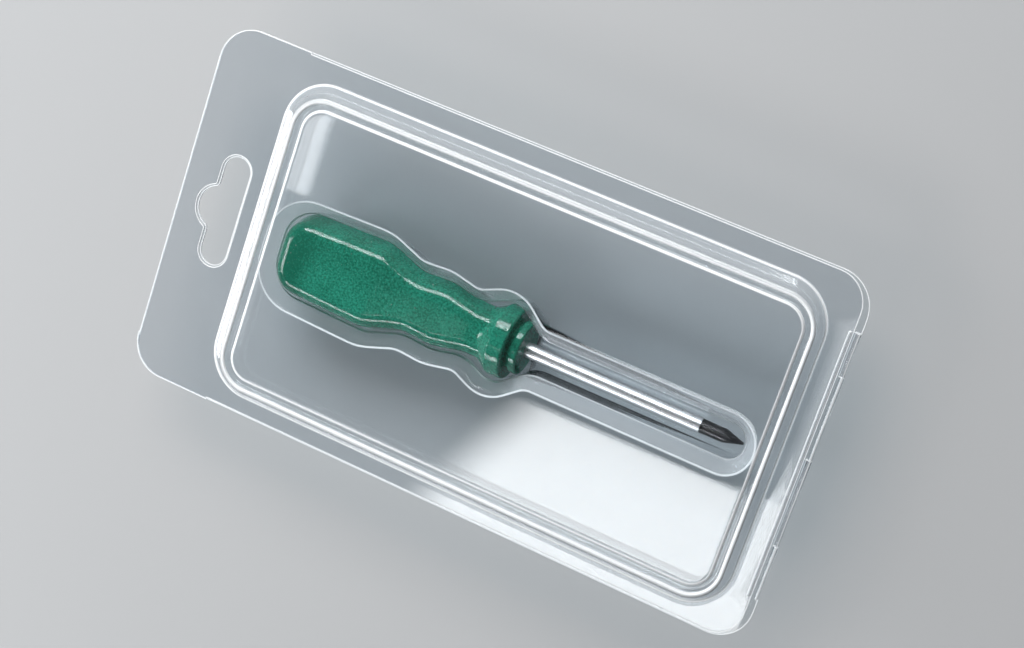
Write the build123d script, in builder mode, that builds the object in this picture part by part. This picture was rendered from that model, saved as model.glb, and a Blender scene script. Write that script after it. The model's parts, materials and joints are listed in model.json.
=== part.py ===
from build123d import *
from math import atan2, degrees
import os

# A clear clamshell pack that hangs from a slot in its header and holds one screwdriver.
# X runs along the pack, from the header to the fold, Y across it and Z up from the table.
# Sizes are in millimetres.

# Formed sheet and its fits
skin = 0.45
closed_gap = 0.05
nest_gap = 0.5
floor_gap = 0.3
lid_air = 0.5

# Flanges
pack_length = 190.0
pack_width = 102.0
flange_corner = 10.0
lid_end_set = 1.9
lid_side_set = 0.5
lid_corner = 8.5
nick_inset = 26.0

# Margins round the area that is formed in both halves, and its offset across the pack
header_margin = 23.45
fold_margin = 7.9
side_margin = 5.35
form_y = -0.5

# Raised rim of the lid, whose header side slopes more than its fold side
rim_corner = 13.0
rim_wall_run = 3.4
rim_lean = 1.6
crest_width = 1.1
valley_run = 0.5
valley_width = 0.9
crest_proud = 0.5
valley_depth = 1.2
tray_step = 1.6
tray_step_run = 1.6

# Place of the screwdriver in the formed area
butt_room = 9.95
tip_margin = 10.9
tool_offset = -1.6

# Screwdriver handle, in lengths from its butt and half widths across the pack
butt_half = 11.5
butt_corner = 8.5
palm_run = 30.4
palm_half = 12.45
waist_run = 10.7
waist_half = 8.6
swell_run = 9.0
swell_half = 9.3
neck_run = 9.3
neck_half = 7.35
ring_run = 7.4
body_half_height = 9.3
neck_half_height = 7.4
face_band = 0.4
side_draft = 12.0
palm_round = 4.2
hand_curve = 12.0
butt_edge_round = 0.5

# Round collar and nose of the handle
ring_width = 4.4
ring_rise = 0.7
groove_width = 0.9
groove_radius = 6.7
nose_width = 2.5
nose_radius = 7.4
flare_length = 10.0
flare_radius = 6.2
ring_round = 0.6

# Steel blade with its blackened cross point
blade_radius = 2.1
blade_seat = 50.0
black_length = 12.0
black_relief = 0.15
point_length = 5.5
point_radius = 0.3
flute_radius = 1.05
flute_offset = 2.35

# Tool cavity in the tray
axis_drop = 5.4
hug_gap = 0.4
wall_run = 3.5
wall_depth = 4.0
pocket_run = 1.6
pocket_end_room = 1.6
pocket_end_curve = 2.0
channel_side = 2.7
channel_floor_gap = 0.4
shoulder_room = 3.5
tip_room = 1.0
collar_peak = 1.6
collar_curve = 6.0
shoulder_curve = 9.0
end_fullness = 0.95

# Slot that the pack hangs from
slot_room = 8.6
slot_y = 1.0
slot_length = 31.2
slot_width = 8.0
notch_step = 2.9
notch_radius = 5.6
notch_round = 1.2
lid_slot_margin = 0.55

# Fold along the far end, divided across the pack at the marks
fold_radius = 0.65
fold_gap = 0.15
fold_marks = (37.25, 25.3, 2.3, -22.0, -37.25)
bead_inset = 2.7
bead_width = 1.1
bead_height = 0.4

# Slack for picking edges and corners by place
pick_slack = 0.01

# Levels above the table
ring_radius = body_half_height + ring_rise
axis_z = skin + floor_gap + ring_radius
flange_top = axis_z + axis_drop
tray_panel = flange_top + tray_step
ledge_z = tray_panel - wall_depth
lid_base = flange_top + closed_gap
window_top = axis_z + ring_radius + lid_air + skin
crest_top = window_top + crest_proud
valley_top = window_top - valley_depth
channel_floor = axis_z - blade_radius - channel_floor_gap
cavity_draft = degrees(atan2(wall_run, wall_depth))
pocket_draft = degrees(atan2(pocket_run, axis_z - skin))
fold_x = pack_length / 2 - fold_radius
fold_z = flange_top + closed_gap / 2

# Places along and across the pack
rim_start = header_margin - pack_length / 2
rim_end = pack_length / 2 - fold_margin
rim_length = rim_end - rim_start
rim_width = pack_width - 2 * side_margin
form_x = (rim_start + rim_end) / 2
nick_x = nick_inset - pack_length / 2
slot_x = rim_start - slot_room
notch_x = slot_x - notch_step
tool_y = form_y + tool_offset
butt_x = rim_start + butt_room
palm_x = butt_x + palm_run
waist_x = palm_x + waist_run
swell_x = waist_x + swell_run
neck_x = swell_x + neck_run
ring_x = neck_x + ring_run
ring_mid = ring_x + ring_width / 2
nose_x = ring_x + ring_width + groove_width
nose_end = nose_x + nose_width
shoulder_x = nose_end + shoulder_room
blade_tip_x = rim_end - tip_margin

# Half outline of the handle up to its collar, and of the cavity from there round the blade
channel_half = blade_radius + channel_side - hug_gap
handle_points = [
    (butt_x, butt_half),
    (palm_x, palm_half),
    (waist_x, waist_half),
    (swell_x, swell_half),
    (neck_x, neck_half),
]
handle_curves = [butt_corner, hand_curve, hand_curve, hand_curve, shoulder_curve]
channel_points = [
    (ring_mid, ring_radius + collar_peak),
    (shoulder_x, channel_half),
    (blade_tip_x + tip_room - hug_gap, channel_half),
]
channel_curves = [collar_curve, shoulder_curve, end_fullness * channel_half]


def mirrored_outline(plane, points, curves, margin=0.0):
    """Face inside a half outline and its mirror image, grown by margin."""
    near_side = [(x, -y) for x, y in points]
    far_side = list(reversed(points))
    with BuildSketch(plane) as outline:
        with BuildLine():
            FilletPolyline(*near_side, *far_side, radius=[*curves, *reversed(curves)], close=True)
        make_face()
        if margin:
            offset(amount=margin)
    return outline.sketch


def cavity_outline(height, margin):
    plane = Plane((0, tool_y, height))
    points = handle_points + channel_points
    return mirrored_outline(plane, points, handle_curves + channel_curves, hug_gap + margin)


def pocket_outline(height, margin):
    plane = Plane((0, tool_y, height))
    pocket_end = (nose_end + pocket_end_room, nose_radius - hug_gap)
    points = handle_points + [(ring_mid, ring_radius + collar_peak), pocket_end]
    curves = handle_curves + [collar_curve, pocket_end_curve]
    return mirrored_outline(plane, points, curves, hug_gap + margin)


def channel_outline(height, margin):
    plane = Plane((0, tool_y, height))
    channel_end = blade_tip_x + tip_room + margin
    half = blade_radius + channel_side + margin
    with BuildSketch(plane) as outline:
        with Locations(((nose_x + channel_end) / 2, 0)):
            SlotOverall(channel_end - nose_x, 2 * half)
    return outline.sketch


def rim_outline(height, inset, lean=0.0):
    with BuildSketch(Plane((form_x + lean, form_y, height))) as outline:
        RectangleRounded(rim_length - 2 * inset, rim_width - 2 * inset, rim_corner - inset)
    return outline.sketch


def hanging_slot(margin):
    """Round ended slot with a notch for a hook, grown by margin."""
    slot_side = slot_x - slot_width / 2
    with BuildSketch() as slot:
        with Locations((slot_x, slot_y)):
            SlotOverall(slot_length, slot_width, rotation=90)
        with Locations((notch_x, slot_y)):
            Circle(notch_radius)
        side_corners = slot.vertices().filter_by(lambda v: abs(v.X - slot_side) < pick_slack)
        reach = notch_radius + pick_slack
        fillet(side_corners.filter_by(lambda v: abs(v.Y - slot_y) < reach), notch_round)
        if margin:
            offset(amount=margin)
    return slot.sketch


def sheet_slab(low, high):
    """Wide flat block that the formed shapes rise from or sink into."""
    with BuildPart() as slab:
        with BuildSketch(Plane.XY.offset(low)):
            Rectangle(2 * pack_length, 2 * pack_width)
        extrude(amount=high - low)
    return slab.part


def lid_block(drop):
    """All that lies under the lid's surface, or under its lower face where drop is the skin."""
    crest_inner = rim_wall_run + crest_width
    valley_outer = crest_inner + valley_run
    valley_inner = valley_outer + valley_width
    window_inner = valley_inner + valley_run
    with BuildPart() as block:
        add(sheet_slab(lid_base - skin, lid_base + skin - drop))
        loft(
            [
                rim_outline(lid_base - skin, drop),
                rim_outline(crest_top - drop, rim_wall_run + drop, rim_lean),
            ]
        )
        loft(
            [
                rim_outline(crest_top - drop, crest_inner - drop, rim_lean),
                rim_outline(valley_top - drop, valley_outer - drop, rim_lean),
            ],
            mode=Mode.SUBTRACT,
        )
        loft(
            [
                rim_outline(valley_top - drop, valley_inner + drop, rim_lean),
                rim_outline(window_top - drop, window_inner + drop, rim_lean),
            ]
        )
    return block.part


def tray_block(drop):
    """All that lies under the tray's surface, or under its lower face where drop is the skin."""
    step_inset = skin + nest_gap + drop
    with BuildPart() as block:
        add(sheet_slab(0, flange_top - drop))
        loft(
            [
                rim_outline(flange_top - drop, step_inset),
                rim_outline(tray_panel - drop, step_inset + tray_step_run),
            ]
        )
        extrude(cavity_outline(axis_z, drop), ledge_z - axis_z, mode=Mode.SUBTRACT)
        extrude(cavity_outline(ledge_z, drop), wall_depth, taper=-cavity_draft, mode=Mode.SUBTRACT)
        pocket_floor = pocket_outline(skin - drop, drop - pocket_run)
        extrude(pocket_floor, axis_z - skin + drop, taper=-pocket_draft, mode=Mode.SUBTRACT)
        channel = channel_outline(channel_floor - drop, drop)
        extrude(channel, axis_z - channel_floor + drop, mode=Mode.SUBTRACT)
    return block.part


def fold_barrel(marks):
    """Round edge of the fold between two marks across the pack."""
    high, low = marks
    with BuildPart() as barrel:
        with BuildSketch(Plane.XZ.offset(-high + fold_gap / 2)):
            with Locations((fold_x, fold_z)):
                Circle(fold_radius)
        extrude(amount=high - low - fold_gap)
    return barrel.part


def fold_room(marks):
    """Space in the other half's flange that a length of the fold turns in."""
    high, low = marks
    with BuildPart() as room:
        with BuildSketch(Plane.XY.offset(fold_z - 2 * fold_radius)):
            room_start = fold_x - fold_radius - fold_gap
            room_end = pack_length / 2 + fold_gap
            with Locations(((room_start + room_end) / 2, (high + low) / 2)):
                Rectangle(room_end - room_start, high - low + fold_gap)
        extrude(amount=4 * fold_radius)
    return room.part


os.makedirs("parts", exist_ok=True)
fold_spans = list(zip(fold_marks, fold_marks[1:]))
lid_spans = fold_spans[0::2]
tray_spans = fold_spans[1::2]


# Back half, with the deep cavity that holds the tool
with BuildPart() as back_tray:
    with BuildSketch() as tray_plan:
        RectangleRounded(pack_length, pack_width, flange_corner)
        add(hanging_slot(0), mode=Mode.SUBTRACT)
    extrude(amount=crest_top)
    add(tray_block(0), mode=Mode.INTERSECT)
    add(tray_block(skin), mode=Mode.SUBTRACT)
    for span in lid_spans:
        add(fold_room(span), mode=Mode.SUBTRACT)
    for span in tray_spans:
        add(fold_barrel(span))

back_tray.part.label = "back_tray"
export_step(back_tray.part, "parts/back_tray.step")


# Front half, trimmed to the tray's edge in the header and set in from it elsewhere
with BuildPart() as front_lid:
    with BuildSketch(Plane.XY.offset(lid_base)) as lid_plan:
        RectangleRounded(pack_length, pack_width, flange_corner)
        with Locations((nick_x + pack_length, 0)):
            Rectangle(2 * pack_length, 2 * pack_width, mode=Mode.SUBTRACT)
        with Locations((-lid_end_set / 2, 0)):
            RectangleRounded(pack_length - lid_end_set, pack_width - 2 * lid_side_set, lid_corner)
        add(hanging_slot(lid_slot_margin), mode=Mode.SUBTRACT)
    extrude(amount=crest_top - lid_base)
    add(lid_block(0), mode=Mode.INTERSECT)
    add(lid_block(skin), mode=Mode.SUBTRACT)
    with BuildSketch(Plane.XY.offset(lid_base + skin)) as bead:
        with Locations((pack_length / 2 - bead_inset, 0)):
            SlotOverall(fold_marks[0] - fold_marks[-1], bead_width, rotation=90)
    extrude(amount=bead_height)
    for span in lid_spans:
        with BuildSketch(Plane.XY.offset(lid_base)) as web:
            web_start = pack_length / 2 - bead_inset
            with Locations(((web_start + fold_x) / 2, (span[0] + span[1]) / 2)):
                Rectangle(fold_x - web_start, span[0] - span[1] - fold_gap)
        extrude(amount=skin)
        add(fold_barrel(span))

front_lid.part.label = "front_lid"
export_step(front_lid.part, "parts/front_lid.step")


# Moulded handle: two mirrored halves of the grip, the turned collar and the bore for the blade
tool_level = Plane((0, tool_y, axis_z))
side_reach = palm_half + 1
side_plane = Plane((0, tool_y + side_reach, axis_z), x_dir=(1, 0, 0), z_dir=(0, -1, 0))
turning_plane = Plane((0, tool_y, axis_z), x_dir=(1, 0, 0), z_dir=(0, -1, 0))
tool_axis = Axis((0, tool_y, axis_z), (1, 0, 0))
grip_points = handle_points + [(ring_mid, neck_half)]
grip_curves = handle_curves + [butt_edge_round]
with BuildPart() as grip_half:
    grip_outline = mirrored_outline(tool_level, grip_points, grip_curves)
    extrude(grip_outline, amount=body_half_height, taper=side_draft)
    with BuildSketch(side_plane):
        with BuildLine():
            back = FilletPolyline(
                (butt_x - 1, 0),
                (butt_x - 1, body_half_height),
                (palm_x, body_half_height),
                (neck_x, neck_half_height),
                (ring_mid + 1, neck_half_height),
                (ring_mid + 1, 0),
                radius=[butt_edge_round, hand_curve, hand_curve, butt_edge_round],
            )
            Line(back @ 1, back @ 0)
        make_face()
    extrude(amount=2 * side_reach, mode=Mode.INTERSECT)
    face_level = axis_z + neck_half_height - face_band
    high_edges = grip_half.edges().filter_by(lambda e: (e @ 0.5).Z > face_level)
    upper_edges = high_edges.filter_by(lambda e: (e @ 0.5).X < ring_mid - pick_slack)
    long_edges = upper_edges.filter_by(lambda e: abs((e @ 0).X - (e @ 1).X) > pick_slack)
    cross_edges = upper_edges.filter_by(lambda e: abs((e @ 0).X - (e @ 1).X) <= pick_slack)
    fillet(long_edges + cross_edges.filter_by(lambda e: (e @ 0).X < butt_x + palm_round), palm_round)

with BuildPart() as driver_handle:
    add(grip_half.part)
    mirror(about=tool_level)
    with BuildSketch(turning_plane) as turned:
        with BuildLine():
            flare_start = ring_x - flare_length
            flare = TangentArc((flare_start, flare_radius), (ring_x, ring_radius), tangent=(1, 0))
            Polyline(
                flare @ 1,
                (ring_x + ring_width, ring_radius),
                (ring_x + ring_width, groove_radius),
                (nose_x, groove_radius),
                (nose_x, nose_radius),
                (nose_end, nose_radius),
                (nose_end, 0),
                (flare_start, 0),
                flare @ 0,
            )
        make_face()
    revolve(axis=tool_axis)
    circles = driver_handle.edges().filter_by(GeomType.CIRCLE)
    outer_rings = circles.filter_by(lambda e: e.radius > nose_radius - pick_slack)
    fillet(outer_rings.filter_by(lambda e: (e @ 0).X > ring_x - pick_slack), ring_round)
    with BuildSketch(Plane((nose_end, tool_y, axis_z), z_dir=(-1, 0, 0))) as bore:
        Circle(blade_radius)
    extrude(amount=blade_seat, mode=Mode.SUBTRACT)

driver_handle.part.label = "driver_handle"
export_step(driver_handle.part, "parts/driver_handle.step")


# Steel bar seated in the handle, with the blackened cross point ground on its end
black_start = blade_tip_x - black_length
point_start = blade_tip_x - point_length
black_radius = blade_radius - black_relief
flute_start = Plane((black_start + black_relief, tool_y, axis_z), x_dir=(0, 1, 0), z_dir=(1, 0, 0))
with BuildPart() as driver_blade:
    with BuildSketch(turning_plane) as bar:
        with BuildLine():
            Polyline(
                (nose_end - blade_seat, 0),
                (nose_end - blade_seat, blade_radius),
                (black_start, blade_radius),
                (black_start, black_radius),
                (point_start, black_radius),
                (blade_tip_x, point_radius),
                (blade_tip_x, 0),
                (nose_end - blade_seat, 0),
            )
        make_face()
    revolve(axis=tool_axis)
    with BuildSketch(flute_start) as flutes:
        with PolarLocations(flute_offset, 4):
            Circle(flute_radius)
    extrude(amount=black_length, mode=Mode.SUBTRACT)

driver_blade.part.label = "driver_blade"
export_step(driver_blade.part, "parts/driver_blade.step")
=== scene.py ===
import bmesh
import bpy
import json
import math
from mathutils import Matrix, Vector
from mathutils.kdtree import KDTree


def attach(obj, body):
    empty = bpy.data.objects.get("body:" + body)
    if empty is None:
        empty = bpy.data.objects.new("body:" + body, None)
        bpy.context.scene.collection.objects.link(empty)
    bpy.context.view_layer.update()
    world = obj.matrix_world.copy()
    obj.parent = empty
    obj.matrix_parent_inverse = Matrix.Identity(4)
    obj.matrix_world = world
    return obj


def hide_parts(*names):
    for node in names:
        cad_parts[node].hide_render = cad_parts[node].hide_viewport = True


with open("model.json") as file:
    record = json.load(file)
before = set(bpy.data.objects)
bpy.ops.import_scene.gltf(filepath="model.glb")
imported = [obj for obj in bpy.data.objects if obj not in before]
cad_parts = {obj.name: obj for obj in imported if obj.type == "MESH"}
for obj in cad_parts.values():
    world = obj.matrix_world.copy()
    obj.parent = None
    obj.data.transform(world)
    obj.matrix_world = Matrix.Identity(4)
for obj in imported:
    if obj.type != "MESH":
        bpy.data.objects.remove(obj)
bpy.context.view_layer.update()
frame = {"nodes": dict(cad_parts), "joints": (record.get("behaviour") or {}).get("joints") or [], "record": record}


# Back tray: the deep half of the pack, drawn down from one clear PET sheet 0.45 mm thick.
# Its flange carries the hanging slot, its raised panel nests under the lid, and the cavity
# follows the screwdriver in two stages: a sloped lead-in and then close upright walls.
MM = 0.001
X, Y, Z = range(3)


def span(node, axis):
    """The lowest and the highest place of a CAD node along an axis, in millimetres."""
    places = [v.co[axis] / MM for v in frame["nodes"][node].data.vertices]
    return round(min(places), 3), round(max(places), 3)


SHEET = 0.45
PACK_END, PACK_SIDE, PANEL_TOP = [span("back_tray", axis)[1] for axis in (X, Y, Z)]
FLANGE_TOP = PANEL_TOP - 1.6
LEDGE = PANEL_TOP - 4.0
BUTT, NOSE_END = span("driver_handle", X)
BLADE_TIP = span("driver_blade", X)[1]
TOOL_SIDE = sum(span("driver_blade", Y)) / 2
AXIS_HEIGHT = sum(span("driver_blade", Z)) / 2
CHANNEL_FLOOR = AXIS_HEIGHT - 2.5
POCKET_FLOOR = SHEET
RIM_START, RIM_END = 23.45 - PACK_END, PACK_END - 7.9
RIM_HALF = PACK_SIDE - 5.35
RIM_MIDDLE = -0.5
RIM_CORNER = 13.0
FLANGE_CORNER = 10


def walk(corners, radii, closed=True, turn_step=7.5):
    """Points round a path with rounded corners, each with its outward direction and its corner."""
    steps = []
    count = len(corners)
    for i, corner in enumerate(corners):
        here = Vector(corner)
        if not closed and i in (0, count - 1):
            other = Vector(corners[1]) - here if i == 0 else here - Vector(corners[-2])
            other.normalize()
            steps.append((here, Vector((other.y, -other.x)), i))
            continue
        back = (Vector(corners[i - 1]) - here).normalized()
        ahead = (Vector(corners[(i + 1) % count]) - here).normalized()
        if not radii[i]:
            sides = Vector((-back.y, back.x)) + Vector((ahead.y, -ahead.x))
            steps.append((here, sides * 2 / sides.length_squared, i))
            continue
        half = math.acos(max(-1.0, min(1.0, back.dot(ahead)))) / 2
        side = 1 if back.y * ahead.x - back.x * ahead.y > 0 else -1
        middle = here + (back + ahead).normalized() * radii[i] / math.sin(half)
        first = here + back * radii[i] / math.tan(half) - middle
        turn = math.pi - 2 * half
        parts = max(2, math.ceil(math.degrees(turn) / turn_step))
        for k in range(parts + 1):
            angle = side * turn * k / parts
            across = first.x * math.cos(angle) - first.y * math.sin(angle)
            along = first.x * math.sin(angle) + first.y * math.cos(angle)
            spoke = Vector((across, along))
            steps.append((middle + spoke, spoke.normalized() * side, i))
    return steps


def grow(steps, margin, shift=0.0):
    """The points of a walk, moved out by a margin and along the pack by a shift."""
    return [(p.x + d.x * margin + shift, p.y + d.y * margin) for p, d, corner in steps]


def start_shell(name):
    """An empty mesh in edit mode, ready for its first ring."""
    bpy.ops.object.select_all(action="DESELECT")
    bpy.ops.mesh.primitive_circle_add(vertices=3, radius=MM)
    shell = bpy.context.object
    shell.name = shell.data.name = name
    shell.data.attributes.new("cut_white_and_painted_highlight", "FLOAT", "POINT")
    bpy.ops.object.mode_set(mode="EDIT")
    bpy.ops.mesh.select_mode(type="EDGE")
    bpy.ops.mesh.select_all(action="SELECT")
    bpy.ops.mesh.delete(type="VERT")
    return shell


def add_ring(points, height, white=0.0):
    """One closed ring of edges at a height, left selected."""
    bpy.ops.mesh.select_all(action="DESELECT")
    bpy.ops.mesh.primitive_circle_add(vertices=len(points), radius=MM)
    mesh = bpy.context.object.data
    shell = bmesh.from_edit_mesh(mesh)
    cut_white_and_painted_highlight = shell.verts.layers.float["cut_white_and_painted_highlight"]
    fresh = [v for v in shell.verts if v.select]
    for v, (x, y) in zip(fresh, points):
        v.co = (x * MM, y * MM, height * MM)
        v[cut_white_and_painted_highlight] = white
    bmesh.update_edit_mesh(mesh)


def ring_tree(points, height):
    """A search tree that tells which point of a ring lies at a place."""
    tree = KDTree(len(points))
    for i, (x, y) in enumerate(points):
        tree.insert((x * MM, y * MM, height * MM), i)
    tree.balance()
    return tree


def pick_ring(points, height):
    """Selects the open edges that lie on a ring."""
    bpy.ops.mesh.select_all(action="DESELECT")
    mesh = bpy.context.object.data
    shell = bmesh.from_edit_mesh(mesh)
    tree = ring_tree(points, height)
    for e in shell.edges:
        on_ring = all(tree.find(v.co)[2] < 0.002 * MM for v in e.verts)
        e.select_set(on_ring and len(e.link_faces) < 2)
    bmesh.update_edit_mesh(mesh)


def draw_wall(points, height, further, whites):
    """Extrudes the selected ring through further rings, each with its height and its white level,
    which is one value or one for each point. Along a bend the white is a painted highlight."""
    mesh = bpy.context.object.data
    for (next_points, next_height), white in zip(further, whites):
        bpy.ops.mesh.extrude_region_move()
        shell = bmesh.from_edit_mesh(mesh)
        cut_white_and_painted_highlight = shell.verts.layers.float["cut_white_and_painted_highlight"]
        tree = ring_tree(points, height)
        for v in shell.verts:
            if v.select:
                place = tree.find(v.co)[1]
                x, y = next_points[place]
                v.co = (x * MM, y * MM, next_height * MM)
                v[cut_white_and_painted_highlight] = white[place] if isinstance(white, list) else white
        bmesh.update_edit_mesh(mesh)
        points, height = next_points, next_height


def trim_edge(steps, height, side, gap=0.0):
    """The cut edge of the sheet: a narrow strip that the cutting die left white."""
    white_width, faded_width = 0.16, 0.3
    edge, line, end = [
        (grow(steps, gap + side * reach), height) for reach in (0, white_width, faded_width)
    ]
    add_ring(*edge, 1.0)
    draw_wall(*edge, [line, end], [1.0, 0.0])


def bend_painted_highlights(profile, marks):
    """Painted highlight at each step of a profile: where a bend starts, inside it and where it ends.
    A fourth mark holds for the last step but one."""
    whites = []
    for i, (p, d, c) in enumerate(profile):
        start, middle, end, *late = marks[c]
        left = sum(k == c for q, e, k in profile[i + 1 :])
        if i == 0 or profile[i - 1][2] != c:
            whites.append(start)
        elif left == 0:
            whites.append(end)
        elif left == 1 and late:
            whites.append(late[0])
        else:
            whites.append(middle)
    return whites


def fill_level(height):
    """Closes the flat area between all the open rings at one height, but not past a cut edge."""
    bpy.ops.mesh.select_all(action="DESELECT")
    mesh = bpy.context.object.data
    shell = bmesh.from_edit_mesh(mesh)
    cut_white_and_painted_highlight = shell.verts.layers.float["cut_white_and_painted_highlight"]
    for e in shell.edges:
        inner = all(abs(v.co.z / MM - height) < 0.001 and v[cut_white_and_painted_highlight] < 0.5 for v in e.verts)
        e.select_set(inner and len(e.link_faces) < 2)
    bmesh.update_edit_mesh(mesh)
    bpy.ops.mesh.fill(use_beauty=True)


def thicken(piece, thickness):
    """Gives a sheet its thickness, downwards from the face that is drawn."""
    sheet = piece.modifiers.new("sheet", "SOLIDIFY")
    sheet.thickness = thickness * MM
    sheet.offset = -1
    bpy.ops.object.modifier_apply(modifier=sheet.name)


def finish_shell(shell):
    """Turns the faces up, gives the sheet its thickness and smooths the formed curves."""
    bpy.ops.mesh.select_all(action="SELECT")
    bpy.ops.mesh.normals_make_consistent(inside=False)
    body = bmesh.from_edit_mesh(shell.data)
    if max(body.faces, key=lambda f: f.calc_area()).normal.z < 0:
        bpy.ops.mesh.flip_normals()
    for f in body.faces:
        if f.normal.z < -0.2:
            f.normal_flip()
    bmesh.update_edit_mesh(shell.data)
    bpy.ops.object.mode_set(mode="OBJECT")
    thicken(shell, SHEET)
    bpy.ops.object.shade_smooth_by_angle(angle=math.radians(28))


def box_corners(left, right, low, high):
    """The four corners of an upright box in the plane of the flange."""
    return [(left, low), (right, low), (right, high), (left, high)]


def rim_corners(inset):
    """The corners of the formed area, drawn in by an inset."""
    low, high = RIM_MIDDLE - RIM_HALF + inset, RIM_MIDDLE + RIM_HALF - inset
    return box_corners(RIM_START + inset, RIM_END - inset, low, high)


def slot_walk():
    """The hanging slot: a round ended bar with a notch for a single hook."""
    hook = next(m for m in frame["record"]["mounts"] if m["name"] == "hanging_slot")
    x, y = [round(place / MM, 3) for place in hook["pos_m"][:2]]
    half, bar, bar_round = 15.6, 4.0, 3.95
    throat, throat_round = 6.1, 1.5
    bottom, depth, notch_round = 3.6, 8.5, 5.8
    corners = [
        (x - bar, y - half),
        (x + bar, y - half),
        (x + bar, y + half),
        (x - bar, y + half),
        (x - bar, y + throat),
        (x - depth, y + bottom),
        (x - depth, y - bottom),
        (x - bar, y - throat),
    ]
    return walk(corners, [bar_round] * 4 + [throat_round, notch_round, notch_round, throat_round])


# the fold runs along the pack's far end in four lengths, the lid's and the tray's by turns
FOLD_X, FOLD_HEIGHT = [round(frame["joints"][0]["pos_m"][axis] / MM, 3) for axis in (X, Z)]
FOLD_MARKS = [37.25, 25.3, 2.3, -22.0, -37.25]
fold_lengths = list(zip(FOLD_MARKS, FOLD_MARKS[1:]))
lid_lengths, tray_lengths = fold_lengths[0::2], fold_lengths[1::2]
fold_edge = []
for high, low in reversed(fold_lengths):
    edge = FOLD_X + (0.05 if (high, low) in tray_lengths else -0.8)
    fold_edge += [(edge, low), (edge, high)]
near_end = [(-PACK_END, -PACK_SIDE), (PACK_END, -PACK_SIDE), (PACK_END, FOLD_MARKS[-1])]
far_end = [(PACK_END, FOLD_MARKS[0]), (PACK_END, PACK_SIDE), (-PACK_END, PACK_SIDE)]
sharp_corners = [0] * (len(fold_edge) + 2)
tray_outline = walk(
    near_end + fold_edge + far_end,
    [FLANGE_CORNER] * 2 + sharp_corners + [FLANGE_CORNER] * 2,
)

STEP_INSET = 0.95
step_walk = walk(rim_corners(STEP_INSET), [RIM_CORNER - 1] * 4, turn_step=5)
step_profile = walk(
    [(0.8, FLANGE_TOP), (0.0, FLANGE_TOP), (-1.6, PANEL_TOP), (-2.4, PANEL_TOP)],
    [0, 0.6, 0.6, 0],
    closed=False,
    turn_step=15,
)
# painted highlights on the step's bends
step_painted_highlights = bend_painted_highlights(step_profile, [(0, 0, 0), (0, 0.15, 0), (0, 0.2, 0), (0, 0, 0)])

# half widths of the handle at its butt, palm, waist, swell and neck, and of the blade's channel
GRIP = [
    (BUTT, 11.5),
    (BUTT + 30.4, 12.45),
    (BUTT + 41.1, 8.6),
    (BUTT + 50.1, 9.3),
    (BUTT + 59.4, 7.35),
]
GRIP_CURVES = [8.5, 12.0, 12.0, 12.0, 9.0]
COLLAR = (NOSE_END - 5.6, 11.6)
CHANNEL = [COLLAR, (NOSE_END + 3.5, 4.4), (BLADE_TIP + 0.6, 4.4)]
CHANNEL_CURVES = [6.0, 9.0, 4.2]
POCKET_END = [COLLAR, (NOSE_END + 1.6, 7.0)]
POCKET_CURVES = [6.0, 2.0]


def tool_walk(half, curves):
    """A path round the tool, with the same points on both sides of it."""
    near = [(x, TOOL_SIDE - y) for x, y in half]
    far = [(x, TOOL_SIDE + y) for x, y in reversed(half)]
    return walk(near + far, curves + curves[::-1])


def spread(steps, count):
    """A run of a walk, shared out again into so many points."""
    lengths = [0.0]
    for (p, d, c), (q, e, k) in zip(steps, steps[1:]):
        lengths.append(lengths[-1] + (q - p).length)
    again = []
    for i in range(count):
        reach = lengths[-1] * i / (count - 1)
        k = max(j for j in range(len(lengths) - 1) if lengths[j] <= reach + 1e-9)
        part = (reach - lengths[k]) / max(lengths[k + 1] - lengths[k], 1e-9)
        place = steps[k][0].lerp(steps[k + 1][0], part)
        again.append((place, steps[k][1].lerp(steps[k + 1][1], part).normalized(), 0))
    return again


# the pocket's ring has the cavity's count of points, with the channel's run drawn to its end
cavity = tool_walk(GRIP + CHANNEL, GRIP_CURVES + CHANNEL_CURVES)
pocket = tool_walk(GRIP + POCKET_END, GRIP_CURVES + POCKET_CURVES)
last_grip = len(GRIP)
bar_run = [i for i, s in enumerate(cavity) if last_grip <= s[2] < last_grip + 2 * len(CHANNEL)]
end_run = [s for s in pocket if last_grip <= s[2] < last_grip + 2 * len(POCKET_END)]
pocket_ring = cavity[: bar_run[0]] + spread(end_run, len(bar_run)) + cavity[bar_run[-1] + 1 :]

LEAD_IN = 3.9
HUG = 0.4
FOOT = 0.02
cavity_profile = walk(
    [
        (LEAD_IN + 1.7, PANEL_TOP),
        (LEAD_IN, PANEL_TOP),
        (HUG, LEDGE),
        (HUG, AXIS_HEIGHT),
        (FOOT, CHANNEL_FLOOR),
    ],
    [0, 0.9, 0.9, 3.0, 0],
    closed=False,
    turn_step=15,
)
pocket_profile = walk(
    [(FOOT, CHANNEL_FLOOR), (-1.2, POCKET_FLOOR), (-2.6, POCKET_FLOOR)],
    [0, 1.2, 0],
    closed=False,
    turn_step=15,
)

# painted highlights along the cavity's wall, one mark for each corner of its profile
grip_marks = [(0, 0, 0), (0, 0.95, 0.02), (0.05, 0.7, 0.05), (0, 0, 0), (0, 0, 0)]
channel_marks = [(0, 0, 0), (0, 0.95, 0.25), (0.2, 0.8, 0.05), (0, 0, 0), (0, 0, 0)]
beside_blade = [p.x > NOSE_END + 1 for p, d, c in cavity]
cavity_painted_highlights = [
    [channel_white if by_blade else grip_white for by_blade in beside_blade]
    for grip_white, channel_white in zip(
        bend_painted_highlights(cavity_profile, grip_marks), bend_painted_highlights(cavity_profile, channel_marks)
    )
]
# a faint painted highlight on the pocket's walls
pocket_painted_highlights = [0.0] + [0.15] * len(pocket_profile[1:])

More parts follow.
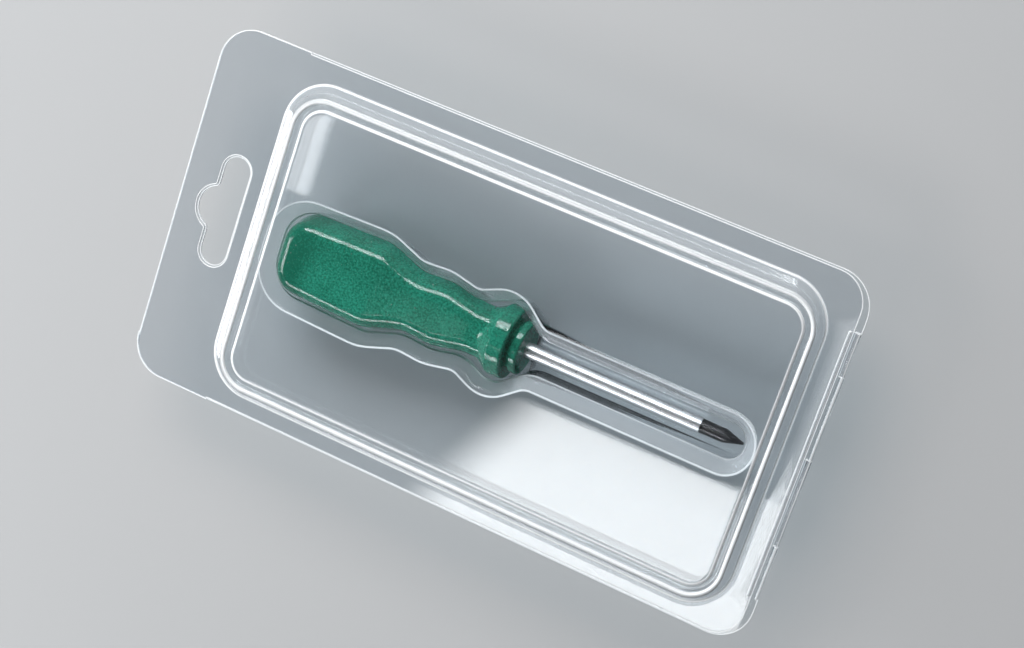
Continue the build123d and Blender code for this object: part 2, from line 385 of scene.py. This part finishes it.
back_tray = start_shell("back_tray_sheet")
trim_edge(tray_outline, FLANGE_TOP, -1)
trim_edge(slot_walk(), FLANGE_TOP, 1)
rings = [(grow(step_walk, p.x), p.y) for p, d, c in step_profile]
add_ring(*rings[0])
draw_wall(*rings[0], rings[1:], step_painted_highlights[1:])
add_ring(grow(cavity, cavity_profile[0][0].x), PANEL_TOP)
fill_level(PANEL_TOP)
fill_level(FLANGE_TOP)

rings = [(grow(cavity, p.x), p.y) for p, d, c in cavity_profile]
rings += [(grow(pocket_ring, p.x), p.y) for p, d, c in pocket_profile]
pick_ring(*rings[0])
draw_wall(*rings[0], rings[1:], cavity_painted_highlights[1:] + pocket_painted_highlights)
bpy.ops.mesh.edge_face_add()
finish_shell(back_tray)


FOLD_RADIUS = 0.65
END_GAP = 0.15


def at_end(v, high, low):
    """Whether a point lies at one of the two cut ends of a length of the fold."""
    return min(abs(v.co.y / MM - high), abs(v.co.y / MM - low)) < 0.2


def fold_length(name, high, low):
    """One length of the rounded fold, a bar with softened ends."""
    bpy.ops.object.select_all(action="DESELECT")
    bpy.ops.mesh.primitive_cylinder_add(
        vertices=20,
        radius=FOLD_RADIUS * MM,
        depth=(high - low - END_GAP) * MM,
        location=(FOLD_X * MM, (high + low) / 2 * MM, FOLD_HEIGHT * MM),
        rotation=(math.radians(90), 0, 0),
    )
    bar = bpy.context.object
    bar.name = bar.data.name = name
    bpy.ops.object.transform_apply(location=True, rotation=True, scale=True)
    rounding = bar.modifiers.new("ends", "BEVEL")
    rounding.width = 0.2 * MM
    rounding.segments = 2
    rounding.limit_method = "ANGLE"
    bpy.ops.object.modifier_apply(modifier=rounding.name)
    bpy.ops.object.shade_smooth_by_angle(angle=math.radians(40))
    cut_white_and_painted_highlight = bar.data.attributes.new("cut_white_and_painted_highlight", "FLOAT", "POINT")
    # a painted highlight line along the top of the bar's outer side, and white at its cut ends
    for v in bar.data.vertices:
        out, up = v.co.x / MM - FOLD_X, v.co.z / MM - FOLD_HEIGHT
        on_painted_highlight_line = 0.15 < out < 0.45 and up > 0
        cut_white_and_painted_highlight.data[v.index].value = 1.0 if on_painted_highlight_line or at_end(v, high, low) else 0.0
    return bar


def join_into(shell, others):
    """Joins other meshes into a shell."""
    bpy.ops.object.select_all(action="DESELECT")
    for o in others + [shell]:
        o.select_set(True)
    bpy.context.view_layer.objects.active = shell
    bpy.ops.object.join()


join_into(back_tray, [fold_length("tray_fold_" + k, *ends) for k, ends in zip("ab", tray_lengths)])


def feed(tree, node, inputs):
    """Feeds sockets of a shader node, each with a plain value or with another node's output."""
    for socket, value in inputs.items():
        if isinstance(value, bpy.types.NodeSocket):
            tree.links.new(value, node.inputs[socket])
        else:
            node.inputs[socket].default_value = value
    return node


def add_node(tree, kind, inputs=None):
    """A new shader node, with some of its sockets fed."""
    return feed(tree, tree.nodes.new("ShaderNode" + kind), inputs or {})


def add_maths(tree, operation, *terms, clamp=False):
    """The outcome of one operation on numbers or on other outputs."""
    step = add_node(tree, "Math", dict(enumerate(terms)))
    step.operation = operation
    step.use_clamp = clamp
    return step.outputs[0]


def add_run(tree, value, start, end, first=0.0, last=1.0, smooth=False):
    """Runs from the first number to the last while a value goes from start to end."""
    levels = {"From Min": start, "From Max": end, "To Min": first, "To Max": last}
    run = add_node(tree, "MapRange", {"Value": value, **levels})
    if smooth:
        run.interpolation_type = "SMOOTHSTEP"
    return run.outputs["Result"]


def add_places(tree):
    """Places in the piece's own coordinates."""
    return add_node(tree, "TexCoord").outputs["Object"]


def new_finish(name):
    """A new material and its node tree."""
    finish = bpy.data.materials.new(name)
    finish.use_nodes = True
    return finish, finish.node_tree


def dress(piece, finish):
    """Gives a piece its one material."""
    piece.data.materials.clear()
    piece.data.materials.append(finish)


def clear_sheet(name, tint, seed):
    """Clear PET: glassy, with a few dust specks, white where it is cut, and white painted highlights where it is
    sharply bent.
    """
    finish, tree = new_finish(name)
    tree.nodes.clear()
    plastic = add_node(
        tree,
        "BsdfPrincipled",
        {"Base Color": (*tint, 1), "IOR": 1.5, "Roughness": 0.02, "Transmission Weight": 1.0},
    )

    # dust specks, one in some of the small cells
    shift = (seed, seed * 0.37, seed * 0.71)
    moved = add_node(tree, "VectorMath", {0: add_places(tree), 1: shift})
    cells = add_node(tree, "TexVoronoi", {"Vector": moved.outputs[0], "Scale": 420})
    near = add_run(tree, cells.outputs["Distance"], 0.02, 0.07, 0.4, 0.0)
    some = add_maths(tree, "GREATER_THAN", cells.outputs["Color"], 0.55)
    specks = add_maths(tree, "MULTIPLY", near, some)

    # painted highlights at the bends, and the white of cut edges
    highlight_and_cut_white = add_node(tree, "Attribute")
    highlight_and_cut_white.attribute_name = "cut_white_and_painted_highlight"
    white = add_maths(tree, "MULTIPLY_ADD", highlight_and_cut_white.outputs["Fac"], 0.82, specks, clamp=True)
    white_of_cuts_dust_and_highlights = add_node(tree, "BsdfDiffuse", {"Color": (0.96, 0.98, 1.0, 1)})
    marked = add_node(tree, "MixShader", {"Fac": white, 1: plastic.outputs[0], 2: white_of_cuts_dust_and_highlights.outputs[0]})

    # lamps and bounced light pass straight through the sheet
    rays = add_node(tree, "LightPath").outputs
    passing = add_maths(tree, "MAXIMUM", rays["Is Shadow Ray"], rays["Is Diffuse Ray"])
    clear = add_node(tree, "BsdfTransparent", {"Color": (0.90, 0.92, 0.93, 1)})
    lit = add_node(tree, "MixShader", {"Fac": passing, 1: marked.outputs[0], 2: clear.outputs[0]})
    add_node(tree, "OutputMaterial", {"Surface": lit.outputs[0]})
    return finish


dress(back_tray, clear_sheet("tray_sheet", (0.90, 0.93, 0.95), 0.4))
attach(back_tray, "tray")
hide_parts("back_tray")


# Front lid: the shallow half, formed from the same clear sheet and folded over the tray.
# A raised rim bead runs round its flat window. The flange is trimmed to the tray's edge in
# the header and a little inside it elsewhere, and a small bead stiffens it along the fold.
LID_TOP = FLANGE_TOP + 0.05 + SHEET
CREST = span("front_lid", Z)[1]
WINDOW = CREST - 0.5
VALLEY = WINDOW - 1.2
LEAN = 1.6
LID_END = PACK_END - 1.9
LID_SIDE = PACK_SIDE - 0.5
NICK = 26 - PACK_END
BEAD_X = PACK_END - 2.7
BEAD_HALF = 0.55
SLOT_ROOM = 0.55
LID_CORNER = 8.5

near_side = [(-PACK_END, -PACK_SIDE), (NICK, -PACK_SIDE), (NICK, -LID_SIDE), (LID_END, -LID_SIDE)]
far_side = [(x, -y) for x, y in reversed(near_side)]
near_corners = [FLANGE_CORNER, 0, 0, LID_CORNER]
lid_outline = walk(near_side + far_side, near_corners + near_corners[::-1])
rim_walk = walk(rim_corners(0.0), [RIM_CORNER] * 4, turn_step=5)
rim_profile = walk(
    [
        (1.2, LID_TOP),
        (-0.47, LID_TOP),
        (-1.0, LID_TOP + 1.0),
        (-2.8, CREST - 1.14),
        (-3.4, CREST),
        (-4.5, CREST),
        (-5.0, VALLEY),
        (-5.9, VALLEY),
        (-6.4, WINDOW),
        (-7.6, WINDOW),
    ],
    [0, 1.0, 0, 0, 0.85, 0.7, 0.4, 0.4, 1.0, 0],
    closed=False,
    turn_step=15,
)

# painted highlights over the rim, one mark for each corner of its profile
rim_marks = [
    (0, 0, 0),
    (0, 0.9, 0, 0.15),
    (0.1, 0.1, 0.1),
    (0.08, 0.08, 0.08),
    (0, 0.5, 0.7),
    (0.9, 1.0, 0),
    (0, 0, 0),
    (0, 0, 0),
    (0.1, 1.0, 0),
    (0, 0, 0),
]
rim_painted_highlights = bend_painted_highlights(rim_profile, rim_marks)
crest_end = 5
rim_rings = []
for p, d, c in rim_profile:
    rise = min(1.0, max(0.0, (p.y - LID_TOP) / (CREST - LID_TOP)))
    lean = LEAN if c >= crest_end else LEAN * rise
    rim_rings.append((grow(rim_walk, p.x, lean), p.y))

bead_walk = walk(
    box_corners(BEAD_X - BEAD_HALF, BEAD_X + BEAD_HALF, FOLD_MARKS[-1], FOLD_MARKS[0]),
    [BEAD_HALF - 0.01] * 4,
    turn_step=15,
)
bead_rise = [(0.0, 0.0), (-0.08, 0.22), (-0.22, 0.36), (-0.4, 0.4)]
bead_rings = [(grow(bead_walk, inset), LID_TOP + rise) for inset, rise in bead_rise]

front_lid = start_shell("front_lid_sheet")
trim_edge(lid_outline, LID_TOP, -1)
trim_edge(slot_walk(), LID_TOP, 1, SLOT_ROOM)
# painted highlights along the flange bead
add_ring(*bead_rings[0], 0.2)
draw_wall(*bead_rings[0], bead_rings[1:], [1.0, 1.0, 0.0])
bpy.ops.mesh.edge_face_add()
add_ring(*rim_rings[0])
draw_wall(*rim_rings[0], rim_rings[1:], rim_painted_highlights[1:])
bpy.ops.mesh.edge_face_add()
fill_level(LID_TOP)
finish_shell(front_lid)


def fold_web(name, high, low):
    """The strip of sheet that runs from the lid's edge to its length of the fold."""
    width = 1.7
    middle = (FOLD_X - width / 2, (high + low) / 2, LID_TOP - 0.005)
    bpy.ops.object.select_all(action="DESELECT")
    bpy.ops.mesh.primitive_plane_add(size=1, location=Vector(middle) * MM)
    web = bpy.context.object
    web.name = web.data.name = name
    web.scale = (width * MM, (high - low - END_GAP) * MM, 1)
    bpy.ops.object.transform_apply(location=True, rotation=True, scale=True)
    web.data.attributes.new("cut_white_and_painted_highlight", "FLOAT", "POINT")
    bpy.ops.object.mode_set(mode="EDIT")
    for cut in (high - 0.35, low + 0.35):
        bpy.ops.mesh.select_all(action="SELECT")
        bpy.ops.mesh.bisect(plane_co=(0, cut * MM, 0), plane_no=(0, 1, 0))
    strip = bmesh.from_edit_mesh(web.data)
    cut_white_and_painted_highlight = strip.verts.layers.float["cut_white_and_painted_highlight"]
    for v in strip.verts:
        v[cut_white_and_painted_highlight] = 1.0 if at_end(v, high, low) else 0.0
    bmesh.update_edit_mesh(web.data)
    bpy.ops.object.mode_set(mode="OBJECT")
    thicken(web, SHEET - 0.01)
    edge = web.modifiers.new("edge", "BEVEL")
    edge.width = 0.08 * MM
    edge.segments = 2
    bpy.ops.object.modifier_apply(modifier=edge.name)
    return web


lid_folds = [fold_web("lid_web_" + k, *ends) for k, ends in zip("ab", lid_lengths)]
lid_folds += [fold_length("lid_fold_" + k, *ends) for k, ends in zip("ab", lid_lengths)]
join_into(front_lid, lid_folds)
dress(front_lid, clear_sheet("lid_sheet", (0.93, 0.95, 0.97), 1.7))
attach(front_lid, "lid")
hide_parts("front_lid")


# Screwdriver handle: one moulding in dark green plastic, flattened above and below, waisted
# for the fingers, with a turned collar. The CAD solid is shown, glossy with a fine mottle,
# which is missing towards the butt.
DEEP_GREEN = (0.003, 0.13, 0.076, 1)
HAZY_GREEN = (0.03, 0.36, 0.235, 1)

grip_plastic, tree = new_finish("grip_plastic")
places = add_places(tree)
mottle = add_node(tree, "TexNoise", {"Vector": places, "Scale": 1700, "Detail": 4}).outputs["Fac"]
clouds = add_node(tree, "TexNoise", {"Vector": places, "Scale": 90, "Detail": 3}).outputs["Fac"]
both = add_node(tree, "Mix", {0: 0.3, 2: mottle, 3: clouds}).outputs[0]
along = add_node(tree, "SeparateXYZ", {0: places}).outputs["X"]
clean_end = add_run(tree, along, (BUTT + 7) * MM, (BUTT + 15) * MM, 0.74, 1.0, smooth=True)
greens = add_node(tree, "ValToRGB", {"Fac": add_maths(tree, "MULTIPLY", both, clean_end)})
for stop, place, green in zip(greens.color_ramp.elements, (0.37, 0.68), (DEEP_GREEN, HAZY_GREEN)):
    stop.position = place
    stop.color = green
grain = add_node(tree, "Bump", {"Height": mottle, "Strength": 0.18, "Distance": 0.0001})
feed(
    tree,
    tree.nodes["Principled BSDF"],
    {
        "Base Color": greens.outputs["Color"],
        "IOR": 1.5,
        "Roughness": add_run(tree, both, 0, 1, 0.07, 0.17),
        "Normal": grain.outputs["Normal"],
    },
)
dress(frame["nodes"]["driver_handle"], grip_plastic)


# Blade: a bright ground steel bar pressed into the handle, with a cross point at its end.
# The CAD solid is shown. The last 12 mm are blackened.
BRIGHT_STEEL = (0.74, 0.74, 0.75, 1)
BLACKENED = (0.012, 0.012, 0.014, 1)
BLACK_START = BLADE_TIP - 12

blade_finish, tree = new_finish("blade_finish")
places = add_places(tree)
along = add_node(tree, "SeparateXYZ", {0: places}).outputs["X"]
black = add_run(tree, along, (BLACK_START - 0.05) * MM, (BLACK_START + 0.05) * MM)
steels = add_node(tree, "Mix", {0: black, 6: BRIGHT_STEEL, 7: BLACKENED})
steels.data_type = "RGBA"
ground = add_node(tree, "TexNoise", {"Vector": places, "Scale": 1500}).outputs["Fac"]
feed(
    tree,
    tree.nodes["Principled BSDF"],
    {
        "Base Color": steels.outputs[2],
        "Metallic": add_maths(tree, "SUBTRACT", 1.0, black),
        "Roughness": add_run(tree, ground, 0, 1, 0.22, 0.38),
    },
)
dress(frame["nodes"]["driver_blade"], blade_finish)


# Floor: a plain pale sheet, large enough to fill the view. Beyond the lamps' reach it is seen at
# the same pale level, so that it runs into the backdrop without a dark band.
BACKDROP = (0.60, 0.61, 0.62, 1)
FLOOR_PAINT = (0.47, 0.48, 0.49, 1)


def seen_directly(tree):
    """1 for what the camera sees, also mirrored in the sheet or through it, and 0 for lighting."""
    rays = add_node(tree, "LightPath").outputs
    seen = rays["Is Camera Ray"]
    for ray in ("Is Glossy Ray", "Is Transmission Ray"):
        seen = add_maths(tree, "MAXIMUM", seen, rays[ray])
    return seen


def mix_when_seen(tree, part, lit, backdrop, out):
    """Shows the backdrop for that part of what is seen directly, and the lit shader elsewhere."""
    share = add_maths(tree, "MULTIPLY", seen_directly(tree), part)
    blend = add_node(tree, "MixShader", {"Fac": share, 1: lit, 2: backdrop})
    feed(tree, out, {"Surface": blend.outputs[0]})


bpy.ops.object.select_all(action="DESELECT")
bpy.ops.mesh.primitive_plane_add(size=12, location=(0, 0, -0.0002))
floor = bpy.context.object
floor.name = "floor"
floor_paint, tree = new_finish("floor_paint")
paint = tree.nodes["Principled BSDF"]
feed(tree, paint, {"Base Color": FLOOR_PAINT, "Roughness": 0.8})
reach = add_node(tree, "VectorMath", {0: add_places(tree)})
reach.operation = "LENGTH"
far_part = add_run(tree, reach.outputs["Value"], 0.24, 0.75, smooth=True)
far_floor = add_node(tree, "Emission", {"Color": BACKDROP})
out = tree.nodes["Material Output"]
mix_when_seen(tree, far_part, paint.outputs[0], far_floor.outputs[0], out)
dress(floor, floor_paint)


# Lamps: a large soft box beyond the far side, one beyond the header and a strip on the near
# side, whose reflections run along the rim and the handle. A small card overhead is mirrored in
# the window beside the header.
def soft_light(name, place, target, size, watts):
    """A rectangular lamp that faces a target."""
    lamp = bpy.data.lights.new(name, "AREA")
    lamp.shape = "RECTANGLE"
    lamp.size, lamp.size_y = size
    lamp.energy = watts
    box = bpy.data.objects.new(name, lamp)
    bpy.context.scene.collection.objects.link(box)
    box.location = place
    box.rotation_euler = (Vector(target) - Vector(place)).to_track_quat("-Z", "Y").to_euler()


soft_light("far_box", (-0.34, 0.80, 0.60), (-0.02, 0, 0), size=(0.80, 0.40), watts=12.0)
soft_light("header_box", (-0.85, -0.26, 0.50), (0, 0, 0), size=(0.42, 0.36), watts=4.4)
soft_light("near_strip", (-0.35, -0.85, 0.55), (0, 0, 0), size=(0.70, 0.24), watts=5.4)
card_x, card_y = -0.412, -0.153
soft_light(
    "wedge_card",
    (card_x, card_y, 0.80),
    (card_x, card_y, 0.0),
    size=(0.024, 0.056),
    watts=0.0125,
)


# Reflector over the window: a hanging panel with a slanted side, whose mirror image lies on
# the window and the flange below the blade. Its light fades towards the slanted side.
PANEL_LEVEL = 0.80
EYE = Vector((0.17241, 0.14524, 0.53828))
SLANT_TOP = (15, -12.5)
PANEL_CORNERS = [(-7.3, -50.4), (93, -50.4), SLANT_TOP, (93, -11.0)]
ACROSS_SLANT = (0.88, -0.48, 0)


def over_window(x, y):
    """Where a panel point hangs so that the camera sees it mirrored at (x, y) on the window."""
    level = WINDOW * MM
    reach = 1 + (PANEL_LEVEL - level) / (EYE.z - level)
    return (EYE.x + reach * (x * MM - EYE.x), EYE.y + reach * (y * MM - EYE.y), PANEL_LEVEL)


bpy.ops.object.select_all(action="DESELECT")
bpy.ops.mesh.primitive_plane_add(size=1)
panel = bpy.context.object
panel.name = "window_panel"
for v, corner in zip(panel.data.vertices, PANEL_CORNERS):
    v.co = over_window(*corner)
panel_glow, tree = new_finish("panel_glow")
tree.nodes.clear()
across = add_node(tree, "VectorMath", {0: add_places(tree), 1: ACROSS_SLANT})
across.operation = "DOT_PRODUCT"
slant = Vector(over_window(*SLANT_TOP)).dot(ACROSS_SLANT)
reach = across.outputs["Value"]
strength = add_run(tree, reach, slant - 0.005, slant + 0.035, 0.0, 4.6, smooth=True)
glow = add_node(tree, "Emission", {"Color": (1.0, 0.99, 0.97, 1), "Strength": strength})
add_node(tree, "OutputMaterial", {"Surface": glow.outputs[0]})
dress(panel, panel_glow)


# Sky: dim and even as a light, with a pale backdrop seen round the horizon only.
sky = bpy.data.worlds.new("sky")
bpy.context.scene.world = sky
sky.use_nodes = True
tree = sky.node_tree
dim_sky = tree.nodes["Background"]
feed(tree, dim_sky, {"Color": (0.9, 0.95, 1.0, 1), "Strength": 0.09})
backdrop = add_node(tree, "Background", {"Color": BACKDROP})
directions = add_node(tree, "TexCoord").outputs["Generated"]
height = add_node(tree, "SeparateXYZ", {0: directions}).outputs["Z"]
low_part = add_run(tree, height, 0.12, 0.4, 1.0, 0.0, smooth=True)
out = tree.nodes["World Output"]
mix_when_seen(tree, low_part, dim_sky.outputs[0], backdrop.outputs[0], out)


# Camera: over the fold's end of the pack, at the photograph's angle.
eye = bpy.data.cameras.new("photo_camera")
eye.lens = 75.66
eye.shift_x, eye.shift_y = -0.0106, 0.024
eye.clip_start = 0.01
camera = bpy.data.objects.new("photo_camera", eye)
bpy.context.scene.collection.objects.link(camera)
camera.location = EYE
camera.rotation_euler = [math.radians(a) for a in (-8.517, 20.872, 19.788)]
bpy.context.scene.camera = camera
bpy.context.scene.view_settings.view_transform = "Standard"
